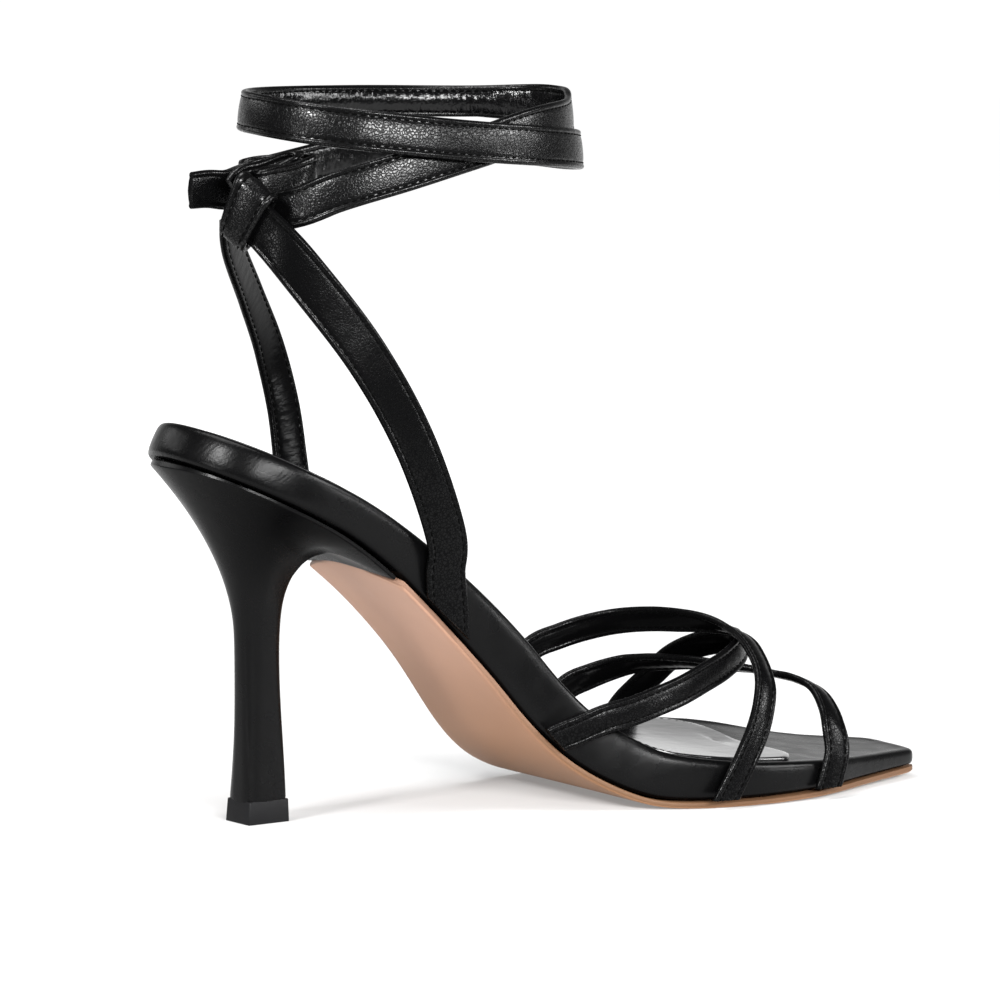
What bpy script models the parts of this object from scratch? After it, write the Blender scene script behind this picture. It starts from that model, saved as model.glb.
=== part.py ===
"""Ankle strap sandal on a slim flared heel, for the left foot.

X runs from heel to toe, Y to the wearer's left and Z up. Sizes are in millimetres. The tables
measure X from the back of the heel seat, and an empty then sets the middle of the heel's tread
on the origin.
"""
from collections import namedtuple
from math import atan2, copysign, cos, pi, radians, sin, sqrt

import bmesh
import bpy
import numpy as np
from mathutils import Matrix, Vector

MM = 0.001
SEAM_GAP = 0.3

# Sole: plan, arch and layers
SOLE_LENGTH = 218.4
HEEL_ROUND = 26.0
TOE_ROUND = 5.0
TOE_SQUARE = 4.0
SEAT_BACK = -2.0
BALL_SLANT = 0.16
SLANT_START = 60.0
SLANT_FULL = 120.0
SLANT_END = 132.0
SLANT_FADE = 28.0
FLAT_START = 134.0
FLAT_END = 146.0
TOE_SPRING = 1.5
STATION_STEP = 6.0
INNER_INSET = 12.0
TOE_SPINE = 13.0
OUTSOLE_THICK = 1.6
OUTSOLE_ROUND = 0.5
OUTSOLE_SPINE = 14.0
SOCK_THICK = 0.9
SOCK_GAP = 0.45
SOCK_INSET = 4.8
SOCK_FRONT = 180.0
SOCK_FRONT_ROUND = 9.0
SOCK_SPINE = 5.0
ACROSS_STEPS = 10

# Footbed: extra height of its lateral edge beside the ball
LATERAL_RISE = 2.4
RISE_SPAN = 30.0
RISE_START = 110.0
RISE_FULL = 130.0
RISE_FADE = 180.0
RISE_END = 200.0

# Heel
TREAD_X = 27.8
HEEL_TURN = radians(8.5)
LIFT_HEIGHT = 5.0
LIFT_LENGTH = 12.4
LIFT_WIDTH = 9.4
LIFT_CORNER = 0.6
RIM_DEPTH = 2.0
SIDE_RIM_DEPTH = 0.7
RIM_INSET = 1.8
BREAST_MID = 49.5
BREAST_WING = 54.0
BREAST_FILL = 1.5
BREAST_SPINE = 10.0
BREAST_SPREAD = 1.5
BREAST_FILLET = 0.55
BACK_FLARE = 1.85
FLARE_RINGS = (0.015, 0.05, 0.11, 0.19, 0.3, 0.45, 0.62, 0.82, 1.0)
TOP_INSET = 8.0

# Straps
STRAP_THICK = 1.8
STRAP_ROUND = 0.5
REAR_MEDIAL_WIDTH = 7.5
OUTER_WIDTH = 7.0
FRONT_MEDIAL_WIDTH = 7.6
MEDIAL_SLING_WIDTH = 11.0
LATERAL_SLING_WIDTH = 10.4
TIE_WIDTH = 9.8
STRAP_STEP = 4.0
CURVE_STEPS = 12

# Ankle that the tie is wound round
ANKLE_X = 66.0
ANKLE_LENGTH = 85.0
ANKLE_WIDTH = 60.0

# Height of the tread surface over the floor, from the back of the seat to the ball
Arch = namedtuple("Arch", "x height")
ARCH = [
    Arch(0, 87.0),
    Arch(20, 78.0),
    Arch(40, 68.2),
    Arch(60, 53.6),
    Arch(80, 34.3),
    Arch(90, 22.0),
    Arch(100, 11.9),
    Arch(108, 6.8),
    Arch(115, 3.6),
    Arch(121, 1.5),
    Arch(127, 0.4),
    Arch(134, 0.0),
]

# Half widths of the sole on each side of its middle line, and the depth of the footbed
Plan = namedtuple("Plan", "x medial lateral depth")
PLAN = [
    Plan(0, 27.5, 27.0, 9.2),
    Plan(26, 26.5, 26.0, 9.4),
    Plan(50, 22.2, 24.4, 10.5),
    Plan(75, 17.6, 22.7, 13.1),
    Plan(100, 20.8, 27.0, 13.4),
    Plan(125, 28.2, 33.5, 12.0),
    Plan(150, 33.4, 36.8, 9.2),
    Plan(175, 31.2, 30.6, 7.2),
    Plan(195, 23.0, 20.4, 5.4),
    Plan(215, 14.8, 9.6, 4.2),
]

# Edge of the footbed, from its underside to its top: how far in, and at what share of its depth
Edge = namedtuple("Edge", "inset share")
FOOTBED_EDGE = [
    Edge(1.6, 0.0),
    Edge(0.4, 0.07),
    Edge(0.0, 0.25),
    Edge(0.0, 0.7),
    Edge(0.3, 0.9),
    Edge(1.1, 0.98),
    Edge(2.6, 1.0),
    Edge(4.4, 0.94),
]

# Column of the heel below its neck; a higher square makes the section more like a rectangle
Column = namedtuple("Column", "z x length width square")
COLUMN = [
    Column(5.3, 27.8, 12.2, 9.2, 6.0),
    Column(12, 27.8, 12.0, 8.6, 5.0),
    Column(22, 27.5, 11.3, 8.0, 4.0),
    Column(34, 26.9, 10.9, 7.8, 3.2),
    Column(44, 26.6, 11.2, 8.0, 2.8),
]

# Middle lines of the three toe straps, from the medial to the lateral seam. Each faces a turn, with
# 0 forwards and 90 to the lateral side, and a rise, with 90 upwards
Toe = namedtuple("Toe", "x y z turn rise")
REAR_MEDIAL_STRAP = [
    Toe(92.0, -22.0, 14.8, -90, 0),
    Toe(97.9, -22.4, 18.4, -90, 0),
    Toe(103.8, -24.5, 20.9, -90, 2),
    Toe(109.9, -26.5, 23.5, -90, 5),
    Toe(117.4, -27.7, 25.3, -90, 6),
    Toe(125.0, -27.5, 27.3, -88, 6),
    Toe(133.6, -25.5, 29.2, -82, 8),
    Toe(142.8, -22.0, 31.5, -72, 10),
    Toe(152.1, -17.5, 33.6, -58, 12),
    Toe(160.4, -12.0, 35.9, -30, 16),
    Toe(165.0, -6.5, 37.2, 0, 20),
    Toe(166.8, -1.0, 37.3, 30, 20),
    Toe(166.4, 5.0, 36.4, 50, 18),
    Toe(163.9, 13.5, 33.8, 62, 15),
    Toe(161.8, 20.5, 30.1, 70, 10),
    Toe(160.8, 27.0, 25.0, 78, 5),
    Toe(159.2, 32.0, 20.6, 84, 2),
    Toe(157.2, 35.6, 16.3, 88, 0),
    Toe(154.9, 37.5, 11.1, 90, 0),
    Toe(153.2, 38.3, 5.0, 90, 0),
    Toe(152.2, 38.3, -1.0, 90, 0),
]
OUTER_STRAP = [
    Toe(140.2, -34.8, 0.0, -90, 0),
    Toe(144.3, -35.6, 8.0, -90, 0),
    Toe(147.2, -35.4, 13.1, -90, 2),
    Toe(150.7, -34.5, 18.8, -88, 8),
    Toe(153.4, -33.0, 23.8, -82, 16),
    Toe(156.2, -30.0, 29.1, -74, 28),
    Toe(158.1, -26.0, 32.9, -60, 40),
    Toe(159.6, -20.5, 36.5, -45, 56),
    Toe(160.9, -14.5, 39.6, -20, 72),
    Toe(161.4, -8.5, 41.4, 20, 74),
    Toe(156.9, -1.0, 42.2, 48, 40),
    Toe(153.4, 6.0, 42.2, 62, 20),
    Toe(149.7, 13.0, 41.8, 70, 10),
    Toe(145.2, 20.5, 40.6, 76, 4),
    Toe(139.7, 26.0, 38.7, 82, 0),
    Toe(132.9, 29.7, 36.1, 88, 0),
    Toe(124.9, 31.5, 32.6, 90, 0),
    Toe(117.2, 33.2, 23.0, 90, 0),
    Toe(113.0, 32.6, 12.0, 90, 0),
    Toe(110.8, 32.0, 0.0, 90, 0),
]
FRONT_MEDIAL_STRAP = [
    Toe(173.0, -33.3, -1.0, -90, 0),
    Toe(175.7, -33.0, 6.5, -90, 0),
    Toe(177.5, -32.3, 12.2, -90, 2),
    Toe(178.0, -30.0, 17.7, -86, 10),
    Toe(179.0, -26.0, 22.2, -72, 28),
    Toe(179.3, -20.5, 26.1, -50, 48),
    Toe(177.9, -14.0, 28.0, -20, 66),
    Toe(175.7, -8.0, 28.7, 5, 76),
    Toe(171.0, -1.5, 29.6, 25, 76),
    Toe(164.2, 11.0, 29.7, 50, 62),
    Toe(161.1, 18.5, 29.2, 62, 52),
    Toe(157.5, 25.0, 28.4, 72, 42),
    Toe(153.6, 30.5, 27.1, 80, 32),
    Toe(146.1, 35.0, 24.0, 86, 15),
    Toe(139.0, 36.4, 20.6, 90, 5),
    Toe(133.4, 36.9, 12.0, 90, 0),
    Toe(130.0, 36.3, 0.0, 90, 0),
]

# Middle lines of the slings, from the sole's edge to the back of the ankle, and where they face
Sling = namedtuple("Sling", "x y z facing")
MEDIAL_SLING = [
    Sling(68.8, -20.3, 43.0, -90),
    Sling(68.0, -20.6, 51.5, -90),
    Sling(66.2, -21.8, 60.8, -90),
    Sling(64.7, -24.0, 70.8, -90),
    Sling(54.4, -26.0, 92.9, -92),
    Sling(41.1, -25.0, 114.1, -98),
    Sling(26.4, -18.4, 134.3, -122),
    Sling(20.4, -12.0, 143.2, -146),
    Sling(16.6, -7.6, 147.9, -152),
    Sling(15.7, -6.7, 148.7, -154),
]
LATERAL_SLING = [
    Sling(53.2, 25.9, 55.0, 90),
    Sling(52.6, 26.1, 64.0, 92),
    Sling(51.3, 26.5, 74.0, 95),
    Sling(50.0, 27.0, 85.0, 99),
    Sling(47.8, 27.2, 98.3, 103),
    Sling(42.8, 26.0, 113.0, 108),
    Sling(33.5, 18.9, 126.3, 116),
    Sling(22.8, 8.8, 138.9, 122),
    Sling(18.9, 3.6, 147.6, 126),
]

# Ankle tie: free end and folds, then two laps; a turn of 90 is its lateral side, 0 its front
Route = namedtuple("Route", "x y z")
FOLDS = [
    Route(6.4, -0.2, 152.2),
    Route(11.5, 0.5, 152.6),
    Route(16.8, 1.4, 152.9),
    Route(21.4, 1.6, 153.3),
    Route(26.2, 0.3, 154.9),
    Route(31.0, -1.0, 156.4),
    Route(35.0, -1.2, 157.0),
    Route(36.8, 0.9, 157.2),
    Route(33.4, 3.4, 156.2),
    Route(27.2, 4.3, 155.6),
    Route(24.4, 6.6, 154.6),
]
Lap = namedtuple("Lap", "turn z out")
LAPS = [
    Lap(160, 153.8, 0.0),
    Lap(140, 154.4, 0.0),
    Lap(120, 156.0, 0.0),
    Lap(90, 160.0, 0.0),
    Lap(67, 162.6, 0.6),
    Lap(45, 164.3, 1.1),
    Lap(0, 163.0, 1.5),
    Lap(-25, 163.3, 2.3),
    Lap(-45, 163.9, 2.4),
    Lap(-90, 165.3, 2.3),
    Lap(-135, 167.9, 2.0),
    Lap(-180, 170.6, 0.6),
    Lap(-270, 172.8, 0.0),
    Lap(-315, 173.4, 0.5),
    Lap(-345, 174.2, 1.4),
    Lap(-360, 173.9, 1.1),
    Lap(-372, 173.4, 0.2),
    Lap(-385, 171.6, -0.3),
    Lap(-422, 168.8, 0.0),
    Lap(-450, 163.4, 0.0),
    Lap(-475, 157.7, 0.0),
    Lap(-498, 152.6, 0.0),
    Lap(-509, 149.7, 0.0),
    Lap(-520, 148.0, 0.0),
    Lap(-530, 147.0, 0.0),
]
LAP_STEP = 10.0

# Keeper band wrapped round the top of the medial sling
WRAP_HEIGHT = 147.4
WRAP_WIDTH = 8.4
WRAP_CLEAR = 0.8
WRAP_STEPS = 24
WRAP_SQUARE = 4.0

# Block that trims the strap ends at the sole's seam
CUTTER_REACH = 9.0
CUTTER_DEPTH = 14.0

BLACK_LEATHER = (0.012, 0.012, 0.013)
TAN_BOARD = (0.62, 0.38, 0.26)


def smooth(rows, column, at, key="x"):
    """Value of a table's column on a smooth curve through its rows; straight beyond its ends."""
    keys = [getattr(row, key) for row in rows]
    values = [getattr(row, column) for row in rows]
    if keys[0] > keys[-1]:
        keys.reverse()
        values.reverse()
    last = len(keys) - 1

    def slope(i):
        before = max(i - 1, 0)
        after = min(i + 1, last)
        return (values[after] - values[before]) / (keys[after] - keys[before])

    if at <= keys[0]:
        return values[0] + slope(0) * (at - keys[0])
    if at >= keys[-1]:
        return values[-1] + slope(last) * (at - keys[-1])
    i = max(k for k in range(last) if keys[k] <= at)
    span = keys[i + 1] - keys[i]
    t = (at - keys[i]) / span
    start = (1 + 2 * t) * (1 - t) ** 2 * values[i] + t * (1 - t) ** 2 * span * slope(i)
    end = t * t * (3 - 2 * t) * values[i + 1] - t * t * (1 - t) * span * slope(i + 1)
    return start + end


def ramp(value, low, high):
    """0 below low, 1 above high and straight between."""
    return min(1.0, max(0.0, (value - low) / (high - low)))


def tread_height(x, y):
    """Height of the tread surface: arch, flat ball and toe spring, slanted along the ball line."""
    slant = BALL_SLANT * y * ramp(x, SLANT_START, SLANT_FULL) * ramp(SLANT_END - x, 0, SLANT_FADE)
    along = x + slant
    if along >= FLAT_END:
        return TOE_SPRING * ramp(along, FLAT_END, SOLE_LENGTH)
    if along >= FLAT_START:
        return 0.0
    return smooth(ARCH, "height", along)


def on_sole(x, y, lift):
    """Point at a lift over the tread surface, measured square to it."""
    step = 0.5
    slope = (tread_height(x + step, y) - tread_height(x - step, y)) / (2 * step)
    share = lift / sqrt(1 + slope * slope)
    return Vector((x - slope * share, y, tread_height(x, y) + share))


def half_width(x, side):
    """Distance from the middle line to the sole's edge; side is -1 medial and +1 lateral."""
    heel = 1 - min(1.0, (x - SEAT_BACK) / HEEL_ROUND)
    toe = ramp(x, SOLE_LENGTH - TOE_ROUND, SOLE_LENGTH)
    ends = sqrt(1 - heel * heel) * (1 - toe ** TOE_SQUARE) ** (1 / TOE_SQUARE)
    return smooth(PLAN, "medial" if side < 0 else "lateral", x) * ends


def middle(x):
    """Y of the sole's middle at x, clear of the rounding of its ends."""
    return (smooth(PLAN, "lateral", x) - smooth(PLAN, "medial", x)) / 2


def side_stations(start, end):
    """X values along one side: even in the middle, closer where heel and toe turn round."""
    values = []
    heel_end = SEAT_BACK + HEEL_ROUND
    if start < heel_end:
        values += [SEAT_BACK + HEEL_ROUND * (1 - cos(radians(a))) for a in range(0, 76, 15)]
        start = heel_end
    toe_start = min(end, SOLE_LENGTH - TOE_ROUND)
    count = round((toe_start - start) / STATION_STEP)
    values += [start + (toe_start - start) * i / count for i in range(count + 1)]
    if end >= SOLE_LENGTH:
        values += [toe_start + TOE_ROUND * sin(radians(a)) ** (2 / TOE_SQUARE) for a in range(10, 91, 20)]
    return values


def sole_ring(stations):
    """Plan of the whole sole: medial side from heel to toe, then lateral side back."""
    medial = [(x, -half_width(x, -1)) for x in stations]
    lateral = [(x, half_width(x, 1)) for x in reversed(stations[1:-1])]
    return medial + lateral


def breast_x(share):
    """X of the heel's breast line; share runs from -1 at its medial to +1 at its lateral end."""
    return BREAST_MID + (BREAST_WING - BREAST_MID) * share * share


def inset_ring(plan, spine, inset):
    """Plan ring moved in towards the spine, by a length, or all the way where inset is None."""
    moved = []
    for x, y in plan:
        core_x = min(max(x, spine[0]), spine[1])
        core = Vector((core_x, middle(core_x)))
        arm = Vector((x, y)) - core
        keep = 0.0 if inset is None else max(0.0, 1 - inset / arm.length)
        moved.append(core + arm * keep)
    return moved


def level(height):
    """Even lift over the tread, as a function of x and y."""
    return lambda x, y: height


def footbed_lift(share, over=0.0):
    """Lift over the tread at a share of the footbed's depth, as a function of x and y."""
    def lift(x, y):
        beside_ball = ramp(x, RISE_START, RISE_FULL) * (1 - ramp(x, RISE_FADE, RISE_END))
        rise = LATERAL_RISE * beside_ball * ramp(y, 0, RISE_SPAN)
        return OUTSOLE_THICK + SEAM_GAP + share * (smooth(PLAN, "depth", x) + rise) + over
    return lift


def layer_rings(plan, spine, edge):
    """Rings of a layer of the sole, from the spine on its underside to the spine on its top.

    edge is a list of (inset, lift) pairs, where lift is a function of x and y.
    """
    first_lift = edge[0][1]
    last_lift = edge[-1][1]
    under = [(None, first_lift), (INNER_INSET, first_lift)]
    over = [(INNER_INSET, last_lift), (None, last_lift)]
    rings = []
    for inset, lift in under + edge + over:
        ring = inset_ring(plan, spine, inset)
        rings.append([on_sole(point.x, point.y, lift(point.x, point.y)) for point in ring])
    return rings


def add_object(name, mesh, collection):
    """Object of a finished mesh, hung on the shoe's frame."""
    thing = bpy.data.objects.new(name, mesh)
    collection.objects.link(thing)
    thing.parent = frame
    return thing


def loft(name, rings, collection, fill=False):
    """Closed solid through rings of equally many points; fill caps the first and last ring."""
    shape = bmesh.new()
    loops = [[shape.verts.new(Vector(point) * MM) for point in ring] for ring in rings]
    for low, high in zip(loops, loops[1:]):
        for i, corner in enumerate(low):
            j = (i + 1) % len(low)
            shape.faces.new((corner, low[j], high[j], high[i]))
    if fill:
        shape.faces.new(reversed(loops[0]))
        shape.faces.new(loops[-1])
    bmesh.ops.remove_doubles(shape, verts=shape.verts, dist=1e-6)
    bmesh.ops.recalc_face_normals(shape, faces=shape.faces)
    mesh = bpy.data.meshes.new(name)
    shape.to_mesh(mesh)
    shape.free()
    mesh.shade_smooth()
    mesh.set_sharp_from_angle(angle=radians(40))
    return add_object(name, mesh, collection)


def through(rows):
    """Evenly spaced rows on a smooth curve through a table's rows, whose first columns are x, y, z."""
    table = np.array(rows, dtype=float)
    padded = np.vstack((2 * table[0] - table[1], table, 2 * table[-1] - table[-2]))
    t = np.linspace(0, 1, CURVE_STEPS, endpoint=False)[:, None]
    fine = []
    for a, b, c, d in zip(padded, padded[1:], padded[2:], padded[3:]):
        bend = (2 * a - 5 * b + 4 * c - d) * t ** 2 + (3 * b - a - 3 * c + d) * t ** 3
        fine.append(b + 0.5 * ((c - a) * t + bend))
    fine = np.vstack(fine + [table[-1:]])
    legs = np.linalg.norm(np.diff(fine[:, :3], axis=0), axis=1)
    travelled = np.concatenate(([0.0], np.cumsum(legs)))
    count = max(2, round(travelled[-1] / STRAP_STEP))
    goals = np.linspace(0, travelled[-1], count + 1)
    return np.column_stack([np.interp(goals, travelled, column) for column in fine.T])


def route_points(rows):
    """Points alone of a table's smooth curve."""
    return [Vector(row[:3]) for row in through(rows)]


def directions(points):
    """Unit direction of travel at each point."""
    before = [points[0]] + points[:-1]
    after = points[1:] + [points[-1]]
    return [(b - a).normalized() for a, b in zip(before, after)]


def strap(name, points, across, width, collection, closed=False):
    """Strap of even width along points: an open surface with a thickness and rounded edges."""
    shape = bmesh.new()
    rows = []
    for point, side in zip(points, across):
        ends = (point - side * width / 2, point + side * width / 2)
        rows.append([shape.verts.new(end * MM) for end in ends])
    pairs = list(zip(rows, rows[1:]))
    if closed:
        pairs.append((rows[-1], rows[0]))
    for here, there in pairs:
        shape.faces.new((here[0], there[0], there[1], here[1]))
    mesh = bpy.data.meshes.new(name)
    shape.to_mesh(mesh)
    shape.free()
    mesh.shade_smooth()
    thing = add_object(name, mesh, collection)
    wall = thing.modifiers.new("thickness", "SOLIDIFY")
    wall.thickness = STRAP_THICK * MM
    wall.offset = 0
    wall.use_even_offset = True
    edge = thing.modifiers.new("rolled edge", "BEVEL")
    edge.width = STRAP_ROUND * MM
    edge.segments = 1
    edge.limit_method = "ANGLE"
    edge.angle_limit = radians(60)
    return thing


def combine(thing, other, operation):
    """Boolean of one object with another, which stays as a hidden helper."""
    join = thing.modifiers.new(other.name, "BOOLEAN")
    join.operation = operation
    join.object = other
    other.hide_render = True
    other.display_type = "WIRE"


def finish(thing, colour, roughness):
    """Material of a sub-part, named for it."""
    material = bpy.data.materials.new(thing.name)
    material.use_nodes = True
    shader = material.node_tree.nodes["Principled BSDF"]
    shader.inputs["Base Color"].default_value = (*colour, 1.0)
    shader.inputs["Roughness"].default_value = roughness
    shader.inputs["Metallic"].default_value = 0.0
    thing.data.materials.append(material)


def toe_strap(name, route, width, collection):
    """Strap arched over the toes."""
    points = route_points(route)
    across = []
    for along, row in zip(directions(points), through(route)):
        turn, rise = radians(row[3]), radians(row[4])
        facing = Vector((cos(rise) * cos(turn), cos(rise) * sin(turn), sin(rise)))
        across.append(along.cross(facing).normalized())
    return strap(name, points, across, width, collection)


def sling_line(route):
    """Points, directions and facings along a sling."""
    points = route_points(route)
    turns = [radians(row[3]) for row in through(route)]
    facing = [Vector((cos(turn), sin(turn), 0)) for turn in turns]
    return points, directions(points), facing


def sling(name, route, width, collection):
    """Strap from the sole's edge to the back of the ankle."""
    points, along, facing = sling_line(route)
    across = [a.cross(f).normalized() for a, f in zip(along, facing)]
    return strap(name, points, across, width, collection)


def upright(points):
    """Width directions of a strap that stands on edge along points."""
    up = Vector((0, 0, 1))
    return [(up - along * up.dot(along)).normalized() for along in directions(points)]


def lap_point(turn):
    """Point of the ankle tie at a turn round the ankle."""
    out = smooth(LAPS, "out", turn, key="turn")
    angle = radians(turn)
    x = ANKLE_X + (ANKLE_LENGTH / 2 + out) * cos(angle)
    y = (ANKLE_WIDTH / 2 + out) * sin(angle)
    return Vector((x, y, smooth(LAPS, "z", turn, key="turn")))


def column_point(row, angle):
    """Point of the heel's column on a squared oval section, at an angle from its front."""
    turned = angle - HEEL_TURN
    across = abs(cos(turned) / (row.length / 2)) ** row.square
    aside = abs(sin(turned) / (row.width / 2)) ** row.square
    reach = (across + aside) ** (-1 / row.square)
    return Vector((row.x + reach * cos(angle), reach * sin(angle), row.z))


def breast_line(wing_x, shift):
    """Plan of the breast line between the wings, from its lateral to its medial end.

    shift moves its points along X, as a function of the share.
    """
    line = []
    for i in range(1, ACROSS_STEPS):
        share = 1 - 2 * i / ACROSS_STEPS
        line.append((breast_x(share) + shift(share), share * half_width(wing_x, share)))
    return line


def heel_plan():
    """Plan of the heel's top: round the seat from wing to wing, then along the breast."""
    stations = side_stations(SEAT_BACK, BREAST_WING - SEAM_GAP)
    medial = [(x, -half_width(x, -1)) for x in reversed(stations)]
    lateral = [(x, half_width(x, 1)) for x in stations[1:]]
    breast = breast_line(stations[-1], lambda share: BREAST_FILL * (1 - share * share) - SEAM_GAP)
    return medial + lateral + breast


def rim_depth(point):
    """Depth of the heel's upright rim: thin round its sides, deeper across the breast."""
    share = min(1.0, abs(point.y) / (half_width(point.x, point.y) - RIM_INSET))
    return RIM_DEPTH + (SIDE_RIM_DEPTH - RIM_DEPTH) * share * share


def make_heel(collection):
    """Heel lofted from its squared tip up the column, out to the seat and over the top."""
    spine = (HEEL_ROUND, BREAST_MID - BREAST_SPINE)
    rim = inset_ring(heel_plan(), spine, RIM_INSET)
    angles = [atan2(point.y, point.x - TREAD_X) for point in rim]
    rings = [[column_point(row, angle) for angle in angles] for row in COLUMN]
    neck = rings[-1]
    for reach in FLARE_RINGS:
        ring = []
        for point, angle, low in zip(rim, angles, neck):
            front = ((1 + cos(angle)) / 2) ** BREAST_SPREAD
            rim_under = on_sole(point.x, point.y, OUTSOLE_THICK - rim_depth(point))
            spot = low.lerp(rim_under, reach)
            plate = tread_height(spot.x, spot.y) - (tread_height(point.x, point.y) - rim_under.z)
            fillet = sqrt(1 - (1 - min(1.0, reach / BREAST_FILLET)) ** 2)
            trumpet_z = low.z + (rim_under.z - low.z) * reach ** (1 / BACK_FLARE)
            breast_z = low.z + (plate - low.z) * fillet
            ring.append(Vector((spot.x, spot.y, trumpet_z + (breast_z - trumpet_z) * front)))
        rings.append(ring)
    plan = [(point.x, point.y) for point in rim]
    for inset in (0.0, TOP_INSET, None):
        ring = inset_ring(plan, spine, inset)
        rings.append([on_sole(point.x, point.y, OUTSOLE_THICK) for point in ring])
    foot = rings[0]
    centre = sum(foot, Vector()) / len(foot)
    return loft("heel", [[centre] * len(foot)] + rings, collection)


def make_top_lift(collection):
    """Squared wear block under the heel, with rounded upright edges."""
    bpy.ops.mesh.primitive_cube_add(size=1)
    lift = bpy.context.object
    lift.name = "top_lift"
    lift.data.name = "top_lift"
    lift.data.transform(Matrix.Diagonal((LIFT_LENGTH * MM, LIFT_WIDTH * MM, LIFT_HEIGHT * MM, 1)))
    lift.location = (TREAD_X * MM, 0, LIFT_HEIGHT / 2 * MM)
    lift.rotation_euler = (0, 0, HEEL_TURN)
    lift.parent = frame
    for home in list(lift.users_collection):
        home.objects.unlink(lift)
    collection.objects.link(lift)
    corner = lift.modifiers.new("corners", "BEVEL")
    corner.width = LIFT_CORNER * MM
    corner.segments = 2
    corner.limit_method = "ANGLE"
    return lift


def make_outsole(collection):
    """Sheet from the heel's breast to the toe."""
    stations = side_stations(BREAST_WING, SOLE_LENGTH)
    wing = (BREAST_WING, half_width(BREAST_WING, 1))
    plan = sole_ring(stations) + [wing] + breast_line(BREAST_WING, lambda share: 0.0)
    edge = [
        (OUTSOLE_ROUND, level(0.0)),
        (0.0, level(OUTSOLE_ROUND)),
        (0.0, level(OUTSOLE_THICK)),
    ]
    spine = (BREAST_MID + OUTSOLE_SPINE, SOLE_LENGTH - TOE_SPINE)
    return loft("outsole", layer_rings(plan, spine, edge), collection)


def make_footbed(collection):
    """Padded board over the whole sole, with a rolled edge."""
    plan = sole_ring(side_stations(SEAT_BACK, SOLE_LENGTH))
    edge = [(row.inset, footbed_lift(row.share)) for row in FOOTBED_EDGE]
    spine = (HEEL_ROUND, SOLE_LENGTH - TOE_SPINE)
    return loft("footbed", layer_rings(plan, spine, edge), collection)


def make_sock(collection):
    """Thin sock on the footbed, from the seat to a rounded front behind the toes."""
    stations = [x for x in side_stations(SEAT_BACK, SOLE_LENGTH) if x <= SOCK_FRONT - SOCK_FRONT_ROUND]
    front = stations[-1]
    medial = [(x, -half_width(x, -1)) for x in stations]
    lateral = [(x, half_width(x, 1)) for x in reversed(stations[1:])]
    nose = []
    for i in range(1, ACROSS_STEPS):
        share = -1 + 2 * i / ACROSS_STEPS
        nose.append((front + SOCK_FRONT_ROUND * sqrt(1 - share ** 4), share * half_width(front, share)))
    top_share = FOOTBED_EDGE[-1].share
    edge = [
        (SOCK_INSET, footbed_lift(top_share, SOCK_GAP)),
        (SOCK_INSET, footbed_lift(top_share, SOCK_GAP + SOCK_THICK)),
    ]
    spine = (HEEL_ROUND, front - SOCK_SPINE)
    return loft("insole_sock", layer_rings(medial + nose + lateral, spine, edge), collection)


def make_seam_cutter(collection):
    """Block under the footbed that trims the strap ends at the sole's seam."""
    plan = sole_ring(side_stations(SEAT_BACK, SOLE_LENGTH))
    edge = [
        (-CUTTER_REACH, level(-CUTTER_DEPTH)),
        (-CUTTER_REACH, level(OUTSOLE_THICK + SEAM_GAP)),
    ]
    spine = (HEEL_ROUND, SOLE_LENGTH - TOE_SPINE)
    return loft("seam_cutter", layer_rings(plan, spine, edge), collection)


def make_ankle_tie(collection):
    """Long strap: free end and folds behind the ankle, then two laps that cross on the medial side."""
    turns = np.arange(LAPS[0].turn, LAPS[-1].turn - 1, -LAP_STEP)
    points = route_points(FOLDS + [tuple(lap_point(turn)) for turn in turns])
    return strap("ankle_tie", points, upright(points), TIE_WIDTH, collection)


def make_keeper(collection):
    """Band wrapped round the top of the medial sling."""
    line = list(zip(*sling_line(MEDIAL_SLING)))
    below = max(i for i, at in enumerate(line[:-1]) if at[0].z <= WRAP_HEIGHT)
    share = (WRAP_HEIGHT - line[below][0].z) / (line[below + 1][0].z - line[below][0].z)
    centre, along, facing = [low.lerp(high, share) for low, high in zip(line[below], line[below + 1])]
    along.normalize()
    across = along.cross(facing).normalized()
    facing = across.cross(along).normalized()
    wide = MEDIAL_SLING_WIDTH / 2 + WRAP_CLEAR + STRAP_THICK / 2
    deep = STRAP_THICK + WRAP_CLEAR
    points = []
    for i in range(WRAP_STEPS):
        angle = 2 * pi * i / WRAP_STEPS
        reach_x = copysign(abs(cos(angle)) ** (2 / WRAP_SQUARE), cos(angle))
        reach_y = copysign(abs(sin(angle)) ** (2 / WRAP_SQUARE), sin(angle))
        points.append(centre + across * wide * reach_x + facing * deep * reach_y)
    return strap("tie_keeper", points, [along] * WRAP_STEPS, WRAP_WIDTH, collection, closed=True)


for old in list(bpy.data.objects):
    bpy.data.objects.remove(old)
sandal = bpy.data.collections.new("ankle_strap_sandal")
helpers = bpy.data.collections.new("helpers")
bpy.context.scene.collection.children.link(sandal)
bpy.context.scene.collection.children.link(helpers)
frame = bpy.data.objects.new("shoe_frame", None)
sandal.objects.link(frame)
frame.location = (-TREAD_X * MM, 0, 0)

finish(make_top_lift(sandal), BLACK_LEATHER, 0.55)
finish(make_heel(sandal), BLACK_LEATHER, 0.32)
finish(make_outsole(sandal), TAN_BOARD, 0.45)
finish(make_footbed(sandal), BLACK_LEATHER, 0.35)
finish(make_sock(sandal), BLACK_LEATHER, 0.15)

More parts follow.
